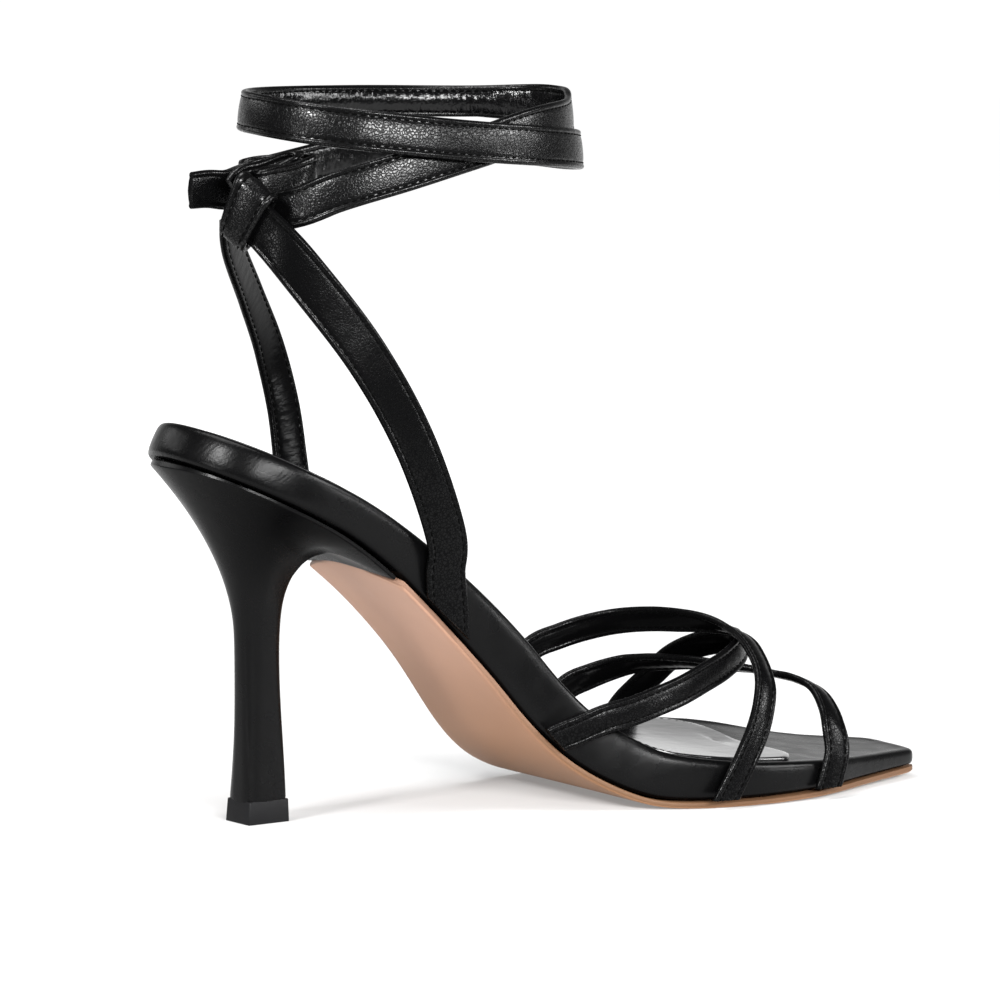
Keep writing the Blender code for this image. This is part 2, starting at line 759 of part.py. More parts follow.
seam_cutter = make_seam_cutter(helpers)
toe_straps = toe_strap("forefoot_straps", OUTER_STRAP, OUTER_WIDTH, sandal)
rear_strap = toe_strap("rear_strap_helper", REAR_MEDIAL_STRAP, REAR_MEDIAL_WIDTH, helpers)
front_strap = toe_strap("front_strap_helper", FRONT_MEDIAL_STRAP, FRONT_MEDIAL_WIDTH, helpers)
combine(toe_straps, rear_strap, "UNION")
combine(toe_straps, front_strap, "UNION")
combine(toe_straps, seam_cutter, "DIFFERENCE")
finish(toe_straps, BLACK_LEATHER, 0.4)

medial_sling = sling("medial_sling", MEDIAL_SLING, MEDIAL_SLING_WIDTH, sandal)
lateral_sling = sling("lateral_sling", LATERAL_SLING, LATERAL_SLING_WIDTH, sandal)
for side_strap in (medial_sling, lateral_sling):
    combine(side_strap, seam_cutter, "DIFFERENCE")
    finish(side_strap, BLACK_LEATHER, 0.4)

finish(make_ankle_tie(sandal), BLACK_LEATHER, 0.4)
finish(make_keeper(sandal), BLACK_LEATHER, 0.4)
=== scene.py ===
from collections import namedtuple
from math import cos, pi, radians, sin

import bmesh
import bpy
import numpy as np
from mathutils import Matrix, Vector


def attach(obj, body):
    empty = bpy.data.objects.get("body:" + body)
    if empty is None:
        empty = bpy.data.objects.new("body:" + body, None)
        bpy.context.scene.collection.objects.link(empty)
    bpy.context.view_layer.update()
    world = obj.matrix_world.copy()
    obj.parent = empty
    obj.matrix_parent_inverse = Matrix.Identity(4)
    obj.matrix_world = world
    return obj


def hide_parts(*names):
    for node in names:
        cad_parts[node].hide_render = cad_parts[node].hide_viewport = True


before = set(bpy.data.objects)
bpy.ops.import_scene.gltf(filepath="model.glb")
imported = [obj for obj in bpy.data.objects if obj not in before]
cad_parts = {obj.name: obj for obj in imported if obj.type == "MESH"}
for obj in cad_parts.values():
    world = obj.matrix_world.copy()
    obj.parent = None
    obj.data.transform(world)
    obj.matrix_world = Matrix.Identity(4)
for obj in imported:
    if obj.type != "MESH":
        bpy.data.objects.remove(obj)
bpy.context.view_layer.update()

# Heel tip: a block of hard black rubber, moulded with rounded upright corners and pinned under the
# heel. Its top and foot are chamfered all round, and its skin is slightly pitted and scuffed.
MM = 0.001
HEEL_TURN = radians(8.5)
TIP_SIZE = (12.4 * MM, 9.6 * MM, 5.6 * MM)
TIP_TAPER = 0.955
TIP_CORNER = 0.5 * MM
TIP_CHAMFER = 0.2 * MM
TIP_SMOOTH = radians(35)
UPRIGHT_SHARE = 0.9
TIP_BLACK = (0.004, 0.004, 0.0045, 1)
TIP_GLOSS = 0.13
TIP_ROUGHNESS = 0.5
TIP_WEAR = 0.12
PIT_SCALE = 2600.0
PIT_DEPTH = 0.04 * MM
SCUFF_SCALE = 420.0


def pick(thing):
    """Deselects everything, then selects one object and makes it the active one."""
    bpy.ops.object.select_all(action="DESELECT")
    thing.select_set(True)
    bpy.context.view_layer.objects.active = thing


def choose_edges(thing, wanted):
    """In edit mode, selects just the edges that satisfy wanted."""
    bpy.ops.mesh.select_mode(type="EDGE")
    bpy.ops.mesh.select_all(action="DESELECT")
    shape = bmesh.from_edit_mesh(thing.data)
    for edge in shape.edges:
        edge.select_set(wanted(edge))
    bmesh.update_edit_mesh(thing.data)


def add_node(tree, kind, inputs, **settings):
    """Shader node with its settings, and its inputs given as values or as other nodes' sockets."""
    made = tree.nodes.new("ShaderNode" + kind)
    for key, value in settings.items():
        setattr(made, key, value)
    for key, value in inputs.items():
        if isinstance(value, bpy.types.NodeSocket):
            tree.links.new(value, made.inputs[key])
        else:
            made.inputs[key].default_value = value
    return made


def noise(tree, place, scale, detail):
    """Height of a noise pattern at each place."""
    return add_node(tree, "TexNoise", {"Vector": place, "Scale": scale, "Detail": detail}).outputs["Fac"]


def ramp(tree, value, start, end, low=0.0, high=1.0, blend="LINEAR"):
    """Number that goes from low to high while a value goes from start to end."""
    limits = {"Value": value, "From Min": start, "From Max": end, "To Min": low, "To Max": high}
    return add_node(tree, "MapRange", limits, interpolation_type=blend).outputs["Result"]


def bump(tree, height, depth, strength=1.0, under=None):
    """Normal of a surface with a height pattern on it, laid over another normal where one is given."""
    inputs = {"Height": height, "Distance": depth, "Strength": strength}
    if under is not None:
        inputs["Normal"] = under
    return add_node(tree, "Bump", inputs).outputs["Normal"]


def blank_material(name, colour, roughness):
    """Material with one shader, and that shader's tree."""
    material = bpy.data.materials.new(name)
    material.use_nodes = True
    shader = material.node_tree.nodes["Principled BSDF"]
    shader.inputs["Base Color"].default_value = colour
    shader.inputs["Roughness"].default_value = roughness
    return material, material.node_tree, shader


def upright_edge(edge):
    """True for an edge that runs up and down."""
    run = edge.verts[0].co - edge.verts[1].co
    return abs(run.z) > UPRIGHT_SHARE * run.length


def top_edge(edge):
    """True for an edge of the block's top face."""
    return all(vertex.co.z > TIP_SIZE[2] / 2 for vertex in edge.verts)


def rim_edge(edge):
    """True for an edge of the block's top or bottom outline."""
    return len({round(face.normal.z) for face in edge.link_faces}) > 1


bpy.ops.object.select_all(action="DESELECT")
bpy.ops.mesh.primitive_cube_add(size=1, location=(0, 0, TIP_SIZE[2] / 2), rotation=(0, 0, HEEL_TURN))
heel_tip = bpy.context.object
heel_tip.name = "heel_tip"
heel_tip.scale = TIP_SIZE
bpy.ops.object.transform_apply()
bpy.ops.object.mode_set(mode="EDIT")
choose_edges(heel_tip, top_edge)
bpy.ops.transform.resize(value=(TIP_TAPER, TIP_TAPER, 1))
choose_edges(heel_tip, upright_edge)
bpy.ops.mesh.bevel(offset=TIP_CORNER, segments=5, affect="EDGES")
choose_edges(heel_tip, rim_edge)
bpy.ops.mesh.bevel(offset=TIP_CHAMFER, segments=3, affect="EDGES")
bpy.ops.object.mode_set(mode="OBJECT")
bpy.ops.object.shade_smooth_by_angle(angle=TIP_SMOOTH)

tip_rubber, tree, shader = blank_material("moulded_rubber", TIP_BLACK, TIP_ROUGHNESS)
shader.inputs["Specular IOR Level"].default_value = TIP_GLOSS
place = add_node(tree, "TexCoord", {}).outputs["Object"]
scuffs = noise(tree, place, SCUFF_SCALE, detail=4.0)
wear = ramp(tree, scuffs, 0.0, 1.0, TIP_ROUGHNESS - TIP_WEAR, TIP_ROUGHNESS + TIP_WEAR)
pits = bump(tree, noise(tree, place, PIT_SCALE, detail=3.0), PIT_DEPTH, strength=0.5)
tree.links.new(wear, shader.inputs["Roughness"])
tree.links.new(pits, shader.inputs["Normal"])
heel_tip.data.materials.append(tip_rubber)
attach(heel_tip, "root")
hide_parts("top_lift")

# Heel: a moulded plastic core covered in one skin of smooth black leather, stretched up the column
# and turned in under the seat. The skin is satin, with a very fine even grain.
WELD = 0.001 * MM
PAIR_ANGLE = radians(70)
SHARP = radians(40)
SMOOTH_UP_TO = radians(60)
HEEL_BLACK = (0.0015, 0.0015, 0.0016, 1)
HEEL_ROUGHNESS = 0.28
HEEL_SWELL = 0.15 * MM
LEATHER_GLOSS = 0.10
# Gloss of faces that look down, lowered as painted shade
UNDER_SHADE_GLOSS = 0.012
UNDER_TILT = (-0.75, -0.3)
LEATHER_POLISH = 0.07
POLISH_SCALE = 160.0
SWELL_SCALE = 95.0
PORE_SCALE = 2400.0
PORE_DEPTH = 0.018 * MM


def round_faces(thing, levels):
    """Splits and rounds a mesh's faces with an applied modifier."""
    rounding = thing.modifiers.new("rounding", "SUBSURF")
    rounding.levels = levels
    rounding.render_levels = levels
    bpy.ops.object.modifier_apply(modifier=rounding.name)


def cover(node, name, levels, crease):
    """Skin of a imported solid: a welded copy in four-sided faces, rounded between its firm edges."""
    skin = bpy.data.objects.new(name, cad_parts[node].data.copy())
    bpy.context.scene.collection.objects.link(skin)
    pick(skin)
    bpy.ops.object.mode_set(mode="EDIT")
    bpy.ops.mesh.select_all(action="SELECT")
    bpy.ops.mesh.remove_doubles(threshold=WELD)
    bpy.ops.mesh.customdata_custom_splitnormals_clear()
    bpy.ops.mesh.tris_convert_to_quads(face_threshold=PAIR_ANGLE, shape_threshold=PAIR_ANGLE)
    bpy.ops.mesh.select_all(action="DESELECT")
    bpy.ops.mesh.select_mode(type="EDGE")
    bpy.ops.mesh.edges_select_sharp(sharpness=SHARP)
    bpy.ops.transform.edge_crease(value=crease)
    bpy.ops.object.mode_set(mode="OBJECT")
    round_faces(skin, levels)
    bpy.ops.object.shade_smooth_by_angle(angle=SMOOTH_UP_TO)
    skin.data.materials.clear()
    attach(skin, "root")
    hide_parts(node)
    return skin


def smooth_leather(name, colour, roughness, swell):
    """Finished leather: fine pores, a slow swell, uneven polish, and painted shade: less gloss on faces that
    look down, as if the floor under them were in shadow.
    """
    material, tree, shader = blank_material(name, colour, roughness)
    normal = add_node(tree, "NewGeometry", {}).outputs["Normal"]
    tilt = add_node(tree, "SeparateXYZ", {"Vector": normal}).outputs["Z"]
    # Painted shade: faces turned towards the floor reflect less, so they stay dark as if the floor under
    # them were shaded
    shaded_gloss = ramp(tree, tilt, *UNDER_TILT, UNDER_SHADE_GLOSS, LEATHER_GLOSS)
    place = add_node(tree, "TexCoord", {}).outputs["Object"]
    patches = noise(tree, place, POLISH_SCALE, detail=5.0)
    polish = ramp(tree, patches, 0.0, 1.0, roughness - LEATHER_POLISH, roughness + LEATHER_POLISH)
    waves = bump(tree, noise(tree, place, SWELL_SCALE, detail=2.0), swell)
    cells = add_node(tree, "TexVoronoi", {"Vector": place, "Scale": PORE_SCALE}).outputs["Distance"]
    pores = bump(tree, cells, PORE_DEPTH, strength=0.6, under=waves)
    tree.links.new(shaded_gloss, shader.inputs["Specular IOR Level"])
    tree.links.new(polish, shader.inputs["Roughness"])
    tree.links.new(pores, shader.inputs["Normal"])
    return material


heel_skin = cover("heel", "heel_cover", levels=3, crease=0.9)
heel_skin.data.materials.append(smooth_leather("heel_leather", HEEL_BLACK, HEEL_ROUGHNESS, HEEL_SWELL))

# Outsole: a sheet of tan sole leather from the heel's breast to the toe, cemented under the footbed.
# Its face is buffed and sealed to a satin, paler up the arch and browner under the ball, where the
# brown is deepened as painted shade near the floor. Its sides are darker, partly the cut edge's own
# tone and partly painted shade where the lamps light them.
SOLE_PALE = (0.45, 0.256, 0.174, 1)
# Brown of the sole under the ball, deepened as painted shade near the floor
SOLE_BROWN_AND_SHADE = (0.255, 0.131, 0.066, 1)
SOLE_ROUGHNESS = 0.5
SOLE_GLOSS = 0.2
ARCH_X = 30.0 * MM
BALL_X = 85.0 * MM
MOTTLE_SCALE = 70.0
MOTTLE_SHADE = (0.93, 1.05)
# Share of the tan left on the sole's sides: the cut edge's own darker tone, with painted shade
EDGE_TONE_AND_SHADE = 0.42
EDGE_TILT = (-0.3, -0.7)
FIBRE_SCALE = 1500.0
FIBRE_DEPTH = 0.03 * MM

outsole = cover("outsole", "tan_outsole", levels=2, crease=0.95)
sole_leather, tree, shader = blank_material("sole_leather", SOLE_PALE, SOLE_ROUGHNESS)
shader.inputs["Specular IOR Level"].default_value = SOLE_GLOSS
place = add_node(tree, "TexCoord", {}).outputs["Object"]
along = add_node(tree, "SeparateXYZ", {"Vector": place}).outputs["X"]
# Paler up the arch and darker towards the ball: the sole's own browner tone there, with painted shade
share = ramp(tree, along, ARCH_X, BALL_X, blend="SMOOTHSTEP")
tone_and_shade = add_node(tree, "Mix", {"Factor": share, "A": SOLE_PALE, "B": SOLE_BROWN_AND_SHADE}, data_type="RGBA")
normal = add_node(tree, "NewGeometry", {}).outputs["Normal"]
tilt = add_node(tree, "SeparateXYZ", {"Vector": normal}).outputs["Z"]
# Sides darker than the underside: the cut edge's tone, deepened with painted shade where the lamps light
# them
edge = ramp(tree, tilt, *EDGE_TILT, EDGE_TONE_AND_SHADE)
mottle = ramp(tree, noise(tree, place, MOTTLE_SCALE, detail=4.0), 0.0, 1.0, *MOTTLE_SHADE)
shade = add_node(tree, "Math", {0: mottle, 1: edge}, operation="MULTIPLY").outputs["Value"]
shaded = add_node(tree, "VectorMath", {0: tone_and_shade.outputs["Result"], "Scale": shade}, operation="SCALE")
nap = bump(tree, noise(tree, place, FIBRE_SCALE, detail=4.0), FIBRE_DEPTH, strength=0.5)
tree.links.new(shaded.outputs["Vector"], shader.inputs["Base Color"])
tree.links.new(nap, shader.inputs["Normal"])
outsole.data.materials.append(sole_leather)

# Footbed: a padded board wrapped in smooth black leather, which is pulled over a rounded edge and
# cemented underneath. The leather gathers in fine creases round the seat.
FOOTBED_BLACK = (0.0015, 0.0015, 0.0016, 1)
FOOTBED_ROUGHNESS = 0.28
FOOTBED_SWELL = 0.2 * MM
CREASES_END = 4.0 * MM
CREASES_FULL = -16.0 * MM
CREASE_SLANT = radians(35)
CREASE_STRETCH = (0.25, 0.6, 1.0)
CREASE_SCALE = 1300.0
CREASE_DEPTH = 0.055 * MM

footbed = cover("footbed", "footbed_cover", levels=3, crease=0.0)
footbed_leather = smooth_leather("footbed_leather", FOOTBED_BLACK, FOOTBED_ROUGHNESS, FOOTBED_SWELL)
tree = footbed_leather.node_tree
shader = tree.nodes["Principled BSDF"]
place = add_node(tree, "TexCoord", {}).outputs["Object"]
along = add_node(tree, "SeparateXYZ", {"Vector": place}).outputs["X"]
seat = ramp(tree, along, CREASES_END, CREASES_FULL, blend="SMOOTHSTEP")
slanted = add_node(
    tree, "VectorRotate", {"Vector": place, "Angle": CREASE_SLANT}, rotation_type="Y_AXIS"
).outputs["Vector"]
drawn = add_node(tree, "VectorMath", {0: slanted, 1: CREASE_STRETCH}, operation="MULTIPLY").outputs["Vector"]
smooth = shader.inputs["Normal"].links[0].from_socket
creases = bump(tree, noise(tree, drawn, CREASE_SCALE, detail=2.0), CREASE_DEPTH, strength=seat, under=smooth)
tree.links.new(creases, shader.inputs["Normal"])
footbed.data.materials.append(footbed_leather)

# Toe straps: three narrow straps of grained black leather, folded over at both edges, lined and
# sewn, that cross over the toes. Their ends go down the footbed's side to the sole's seam.
SEAT_TO_TREAD = 27.8
LINE_STEP = 0.5
CURVE_STEPS = 30
STRIP_STEP = 2.0
STITCH_LENGTH = 1.5
STITCH_WIDTH = 0.40
STITCH_HEIGHT = 0.34
STITCH_PITCH = 2.05
STITCH_INSET = 1.55
STITCH_SEAT = 0.75
STITCH_START = 1.2
END_TILT = -0.55
SEAM_RISE = 0.7 * MM

# Section of a strap from the middle of its outer face round one edge to the middle of its lining:
# how far in from the edge, and how high; the middles have no inset
Edge = namedtuple("Edge", "inset height")
STRAP_EDGE = [
    Edge(None, 1.04),
    Edge(2.6, 0.93),
    Edge(2.0, 0.84),
    Edge(1.78, 0.73),
    Edge(1.30, 0.73),
    Edge(1.10, 0.86),
    Edge(0.75, 0.95),
    Edge(0.32, 0.80),
    Edge(0.05, 0.36),
    Edge(0.00, 0.00),
    Edge(0.08, -0.40),
    Edge(0.40, -0.72),
    Edge(0.85, -0.90),
    Edge(1.12, -0.84),
    Edge(1.32, -0.71),
    Edge(1.78, -0.71),
    Edge(2.00, -0.82),
    Edge(2.60, -0.92),
    Edge(None, -1.08),
]

# Middle lines, from the medial to the lateral seam. Each faces a turn, with 0 forwards and 90 to
# the lateral side, and a rise, with 90 upwards. X is measured from the back of the seat
Toe = namedtuple("Toe", "x y z turn rise")
REAR_MEDIAL_STRAP = [
    Toe(92.0, -22.0, 14.8, -90, 0),
    Toe(97.9, -22.4, 18.4, -90, 0),
    Toe(103.8, -24.5, 20.9, -90, 2),
    Toe(109.9, -26.5, 23.5, -90, 5),
    Toe(117.4, -27.7, 25.3, -90, 6),
    Toe(125.0, -27.5, 27.3, -88, 6),
    Toe(133.6, -25.5, 29.2, -82, 8),
    Toe(142.8, -22.0, 31.5, -72, 10),
    Toe(152.1, -17.5, 33.6, -58, 12),
    Toe(160.4, -12.0, 35.9, -30, 16),
    Toe(165.0, -6.5, 37.2, 0, 20),
    Toe(166.8, -1.0, 37.3, 30, 20),
    Toe(166.4, 5.0, 36.4, 50, 18),
    Toe(163.9, 13.5, 33.8, 62, 15),
    Toe(161.8, 20.5, 30.1, 70, 10),
    Toe(160.8, 27.0, 25.0, 78, 5),
    Toe(159.2, 32.0, 20.6, 84, 2),
    Toe(157.2, 35.6, 16.3, 88, 0),
    Toe(154.9, 37.5, 11.1, 90, 0),
    Toe(153.2, 38.3, 5.0, 90, 0),
    Toe(152.2, 38.3, -1.0, 90, 0),
]
OUTER_STRAP = [
    Toe(140.2, -34.8, 0.0, -90, 0),
    Toe(144.3, -35.6, 8.0, -90, 0),
    Toe(147.2, -35.4, 13.1, -90, 2),
    Toe(150.7, -34.5, 18.8, -88, 8),
    Toe(153.4, -33.0, 23.8, -82, 16),
    Toe(156.2, -30.0, 29.1, -74, 28),
    Toe(158.1, -26.0, 32.9, -60, 40),
    Toe(159.6, -20.5, 36.5, -45, 56),
    Toe(160.5, -14.5, 39.5, -22, 68),
    Toe(159.9, -8.0, 41.3, 18, 64),
    Toe(156.9, -1.0, 42.2, 48, 40),
    Toe(153.4, 6.0, 42.2, 62, 20),
    Toe(149.7, 13.0, 41.8, 70, 10),
    Toe(145.2, 20.5, 40.6, 76, 4),
    Toe(139.7, 26.0, 38.7, 82, 0),
    Toe(132.9, 29.7, 36.1, 88, 0),
    Toe(124.9, 31.5, 32.6, 90, 0),
    Toe(117.2, 33.2, 23.0, 90, 0),
    Toe(113.0, 32.6, 12.0, 90, 0),
    Toe(110.8, 32.0, 0.0, 90, 0),
]
FRONT_MEDIAL_STRAP = [
    Toe(173.0, -33.3, -1.0, -90, 0),
    Toe(175.7, -33.0, 6.5, -90, 0),
    Toe(177.5, -32.3, 12.2, -90, 2),
    Toe(178.0, -30.0, 17.7, -86, 10),
    Toe(179.0, -26.0, 22.2, -72, 28),
    Toe(179.3, -20.5, 26.1, -50, 48),
    Toe(177.9, -14.0, 28.0, -20, 66),
    Toe(175.7, -8.0, 28.7, 5, 76),
    Toe(171.0, -1.5, 29.6, 25, 76),
    Toe(164.2, 11.0, 29.7, 50, 62),
    Toe(161.1, 18.5, 29.2, 62, 52),
    Toe(157.5, 25.0, 28.4, 72, 42),
    Toe(153.6, 30.5, 27.1, 80, 32),
    Toe(146.1, 35.0, 24.0, 86, 15),
    Toe(139.0, 36.4, 20.6, 90, 5),
    Toe(133.4, 36.9, 12.0, 90, 0),
    Toe(130.0, 36.3, 0.0, 90, 0),
]


def even_line(rows):
    """Evenly spaced rows on a smooth curve through a table's rows, whose first columns are x, y, z."""
    table = np.array(rows, dtype=float)
    padded = np.vstack((2 * table[0] - table[1], table, 2 * table[-1] - table[-2]))
    t = np.linspace(0, 1, CURVE_STEPS, endpoint=False)[:, None]
    fine = []
    for a, b, c, d in zip(padded, padded[1:], padded[2:], padded[3:]):
        bend = (2 * a - 5 * b + 4 * c - d) * t ** 2 + (3 * b - a - 3 * c + d) * t ** 3
        fine.append(b + 0.5 * ((c - a) * t + bend))
    fine = np.vstack(fine + [table[-1:]])
    legs = np.linalg.norm(np.diff(fine[:, :3], axis=0), axis=1)
    travelled = np.concatenate(([0.0], np.cumsum(legs)))
    goals = np.linspace(0, travelled[-1], round(travelled[-1] / LINE_STEP) + 1)
    return np.column_stack([np.interp(goals, travelled, column) for column in fine.T])


def unit(vectors):
    """Vectors of length one."""
    return vectors / np.linalg.norm(vectors, axis=1)[:, None]


def facing_ways(turns, rises):
    """Directions that a turn and a rise in degrees point to."""
    turn = np.radians(turns)
    rise = np.radians(rises)
    return np.column_stack((np.cos(rise) * np.cos(turn), np.cos(rise) * np.sin(turn), np.sin(rise)))


def line_length(points):
    """Length of a line of points, and how far along it each one is."""
    legs = np.linalg.norm(np.diff(points, axis=0), axis=1)
    travelled = np.concatenate(([0.0], np.cumsum(legs)))
    return travelled[-1], travelled


def lay(flat, width, points, facing, plan=None):
    """Bends a flat object, which runs along X with its outer face up, along a line of points."""
    along = unit(np.gradient(points, axis=0))
    aside = unit(np.cross(facing, along))
    outward = np.cross(along, aside)
    travelled = line_length(points)[1]
    mesh = flat.data
    place = np.empty(len(mesh.vertices) * 3)
    mesh.vertices.foreach_get("co", place)
    place = place.reshape(-1, 3) / MM
    kept = mesh.attributes.new("flat", "FLOAT_VECTOR", "POINT")
    kept.data.foreach_set("vector", (place * MM).ravel())
    kept = mesh.attributes.new("inset", "FLOAT", "POINT")
    kept.data.foreach_set("value", (width / 2 - abs(place[:, 1])) * MM)
    if plan:
        place = plan(place)

    def at(columns):
        return np.column_stack([np.interp(place[:, 0], travelled, column) for column in columns.T])

    moved = at(points) + at(aside) * place[:, 1:2] + at(outward) * place[:, 2:3]
    moved[:, 0] -= SEAT_TO_TREAD
    mesh.vertices.foreach_set("co", (moved * MM).ravel())
    mesh.update()


def repeat_along(thing, label, count, step):
    """Adds a modifier that repeats an object in a row along X."""
    row = thing.modifiers.new(label, "ARRAY")
    row.count = count
    row.use_relative_offset = False
    row.use_constant_offset = True
    row.constant_offset_displace = (step, 0, 0)
    return row


def flat_strip(name, length, width):
    """Flat strap: the section is drawn as a ring, pulled out one step and repeated to its length."""
    half = [(width / 2 - (width / 2 if e.inset is None else e.inset), e.height) for e in STRAP_EDGE]
    ring = half + [(-y, z) for y, z in reversed(half[1:-1])]
    count = round(length / STRIP_STEP)
    step = length / count * MM
    bpy.ops.object.select_all(action="DESELECT")
    bpy.ops.mesh.primitive_circle_add(vertices=len(ring))
    strip = bpy.context.object
    strip.name = name
    for vertex, (y, z) in zip(strip.data.vertices, ring):
        vertex.co = (0, y * MM, z * MM)
    bpy.ops.object.mode_set(mode="EDIT")
    bpy.ops.mesh.select_all(action="SELECT")
    bpy.ops.mesh.extrude_region_move(TRANSFORM_OT_translate={"value": (step, 0, 0)})
    bpy.ops.object.mode_set(mode="OBJECT")
    row = repeat_along(strip, "length", count, step)
    row.use_merge_vertices = True
    row.merge_threshold = step / 100
    bpy.ops.object.modifier_apply(modifier="length")
    round_faces(strip, 1)
    bpy.ops.object.mode_set(mode="EDIT")
    bpy.ops.mesh.select_all(action="SELECT")
    bpy.ops.mesh.fill_holes(sides=0)
    bpy.ops.mesh.select_all(action="SELECT")
    bpy.ops.mesh.normals_make_consistent(inside=False)
    bpy.ops.object.mode_set(mode="OBJECT")
    bpy.ops.object.shade_smooth_by_angle(angle=SMOOTH_UP_TO)
    return strip


def stitch_rows(name, length, width, start=STITCH_START, sides=("far edge", "lining")):
    """Stitches of a flat strap: one is shaped from a ball, then repeated along and across."""
    count = int((length - 2 * start) / STITCH_PITCH)
    bpy.ops.object.select_all(action="DESELECT")
    bpy.ops.mesh.primitive_uv_sphere_add(segments=6, ring_count=5, radius=0.5)
    stitches = bpy.context.object
    stitches.name = name
    stitches.rotation_euler = (0, pi / 2, 0)
    bpy.ops.object.transform_apply()
    stitches.scale = (STITCH_LENGTH * MM, STITCH_WIDTH * MM, STITCH_HEIGHT * MM)
    stitches.location = ((start + STITCH_LENGTH / 2) * MM, (width / 2 - STITCH_INSET) * MM, STITCH_SEAT * MM)
    bpy.ops.object.transform_apply()
    for axis, label in enumerate(sides, 1):
        other = stitches.modifiers.new(label, "MIRROR")
        other.use_axis = [i == axis for i in range(3)]
        other.use_mirror_merge = False
    repeat_along(stitches, "row", count, STITCH_PITCH * MM)
    for modifier in sides + ("row",):
        bpy.ops.object.modifier_apply(modifier=modifier)
    bpy.ops.object.shade_smooth()
    return stitches


def trim(thing, node, near):
    """Cuts a laid strap off at the sole's seam, along the face where its solid ends nearest a point."""
    spot = Vector(((near[0] - SEAT_TO_TREAD) * MM, near[1] * MM, near[2] * MM))
    ends = [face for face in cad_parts[node].data.polygons if face.normal.z < END_TILT]
    end = min(ends, key=lambda face: (face.center - spot).length)
    pick(thing)
    bpy.ops.object.mode_set(mode="EDIT")
    bpy.ops.mesh.select_all(action="SELECT")
    seam = end.center + Vector((0, 0, SEAM_RISE))
    bpy.ops.mesh.bisect(plane_co=seam, plane_no=end.normal, use_fill=True, clear_outer=True)
    bpy.ops.object.mode_set(mode="OBJECT")


# Skins of the straps and of the tie, which is glossier, with more grain and a crinkled lining
STRAP_BLACK = (0.0012, 0.0012, 0.0013, 1)
STRAP_ROUGHNESS = 0.3
GRAIN_ROUGHNESS = (0.34, 0.21)
CRACK_GLOSS = 0.25
CRACK_WIDTH = 0.24
GRAIN_SCALE = 1300.0
DRIFT_SCALE = 900.0
DRIFT = (0.8 * MM, 0.8 * MM, 0.8 * MM)
ROLL_INSET = (1.5 * MM, 2.4 * MM)
ROLL_GRAIN = 0.1
WAVE_SCALE = 150.0
WAVE_DEPTH = 0.2 * MM
FINE_SCALE = 3500.0
FINE_DEPTH = 0.008 * MM
LINING_BLACK = (0.0012, 0.0012, 0.0013, 1)
LINING_ROUGHNESS = 0.2
CRINKLE_STRETCH = (1.0, 0.45, 1.0)
CRINKLE_SCALE = 560.0
THREAD_BLACK = (0.001, 0.001, 0.001, 1)
THREAD_ROUGHNESS = 0.8
THREAD_GLOSS = 0.02
TWIST_SCALE = 900.0
TWIST_DEPTH = 0.05 * MM


def grained_leather(name, gloss, relief):
    """Strap leather: warped pebbles under a millimetre across with dull cracks, smooth on the rolls."""
    material, tree, shader = blank_material(name, STRAP_BLACK, STRAP_ROUGHNESS)
    place = add_node(tree, "TexCoord", {}).outputs["Object"]
    inset = add_node(tree, "Attribute", {}, attribute_name="inset").outputs["Fac"]
    drift = add_node(tree, "TexNoise", {"Vector": place, "Scale": DRIFT_SCALE, "Detail": 1.0})
    warp = add_node(
        tree, "VectorMath", {0: drift.outputs["Color"], 1: DRIFT, 2: place}, operation="MULTIPLY_ADD"
    ).outputs["Vector"]
    cells = add_node(
        tree, "TexVoronoi", {"Vector": warp, "Scale": GRAIN_SCALE}, feature="DISTANCE_TO_EDGE"
    ).outputs["Distance"]
    pebbles = ramp(tree, cells, 0.0, CRACK_WIDTH, blend="SMOOTHSTEP")
    field = ramp(tree, inset, *ROLL_INSET, ROLL_GRAIN)
    waves = bump(tree, noise(tree, place, WAVE_SCALE, detail=2.0), WAVE_DEPTH)
    grain = bump(tree, pebbles, relief, strength=field, under=waves)
    fine = bump(tree, noise(tree, place, FINE_SCALE, detail=2.0), FINE_DEPTH, strength=0.5, under=grain)
    polish = ramp(tree, pebbles, 0.0, 1.0, *GRAIN_ROUGHNESS)
    shine = ramp(tree, pebbles, 0.0, 1.0, CRACK_GLOSS * gloss, gloss)
    tree.links.new(polish, shader.inputs["Roughness"])
    tree.links.new(shine, shader.inputs["Specular IOR Level"])
    tree.links.new(fine, shader.inputs["Normal"])
    return material


def crinkled_lining(name, gloss, depth):
    """Lining skin: smooth and a little glossy, with soft crinkles across the strap."""
    material, tree, shader = blank_material(name, LINING_BLACK, LINING_ROUGHNESS)
    shader.inputs["Specular IOR Level"].default_value = gloss
    flat = add_node(tree, "Attribute", {}, attribute_name="flat").outputs["Vector"]
    across = add_node(tree, "VectorMath", {0: flat, 1: CRINKLE_STRETCH}, operation="MULTIPLY")
    crinkles = bump(tree, noise(tree, across.outputs["Vector"], CRINKLE_SCALE, detail=3.0), depth)
    tree.links.new(crinkles, shader.inputs["Normal"])
    return material


def sewing_thread():
    """Waxed thread with a fine twist."""
    material, tree, shader = blank_material("sewing_thread", THREAD_BLACK, THREAD_ROUGHNESS)
    shader.inputs["Specular IOR Level"].default_value = THREAD_GLOSS
    flat = add_node(tree, "Attribute", {}, attribute_name="flat").outputs["Vector"]
    twist = add_node(
        tree, "TexWave", {"Vector": flat, "Scale": TWIST_SCALE},
        wave_type="BANDS", bands_direction="DIAGONAL",
    ).outputs["Fac"]
    ply = bump(tree, twist, TWIST_DEPTH, strength=0.7)
    tree.links.new(ply, shader.inputs["Normal"])
    return material


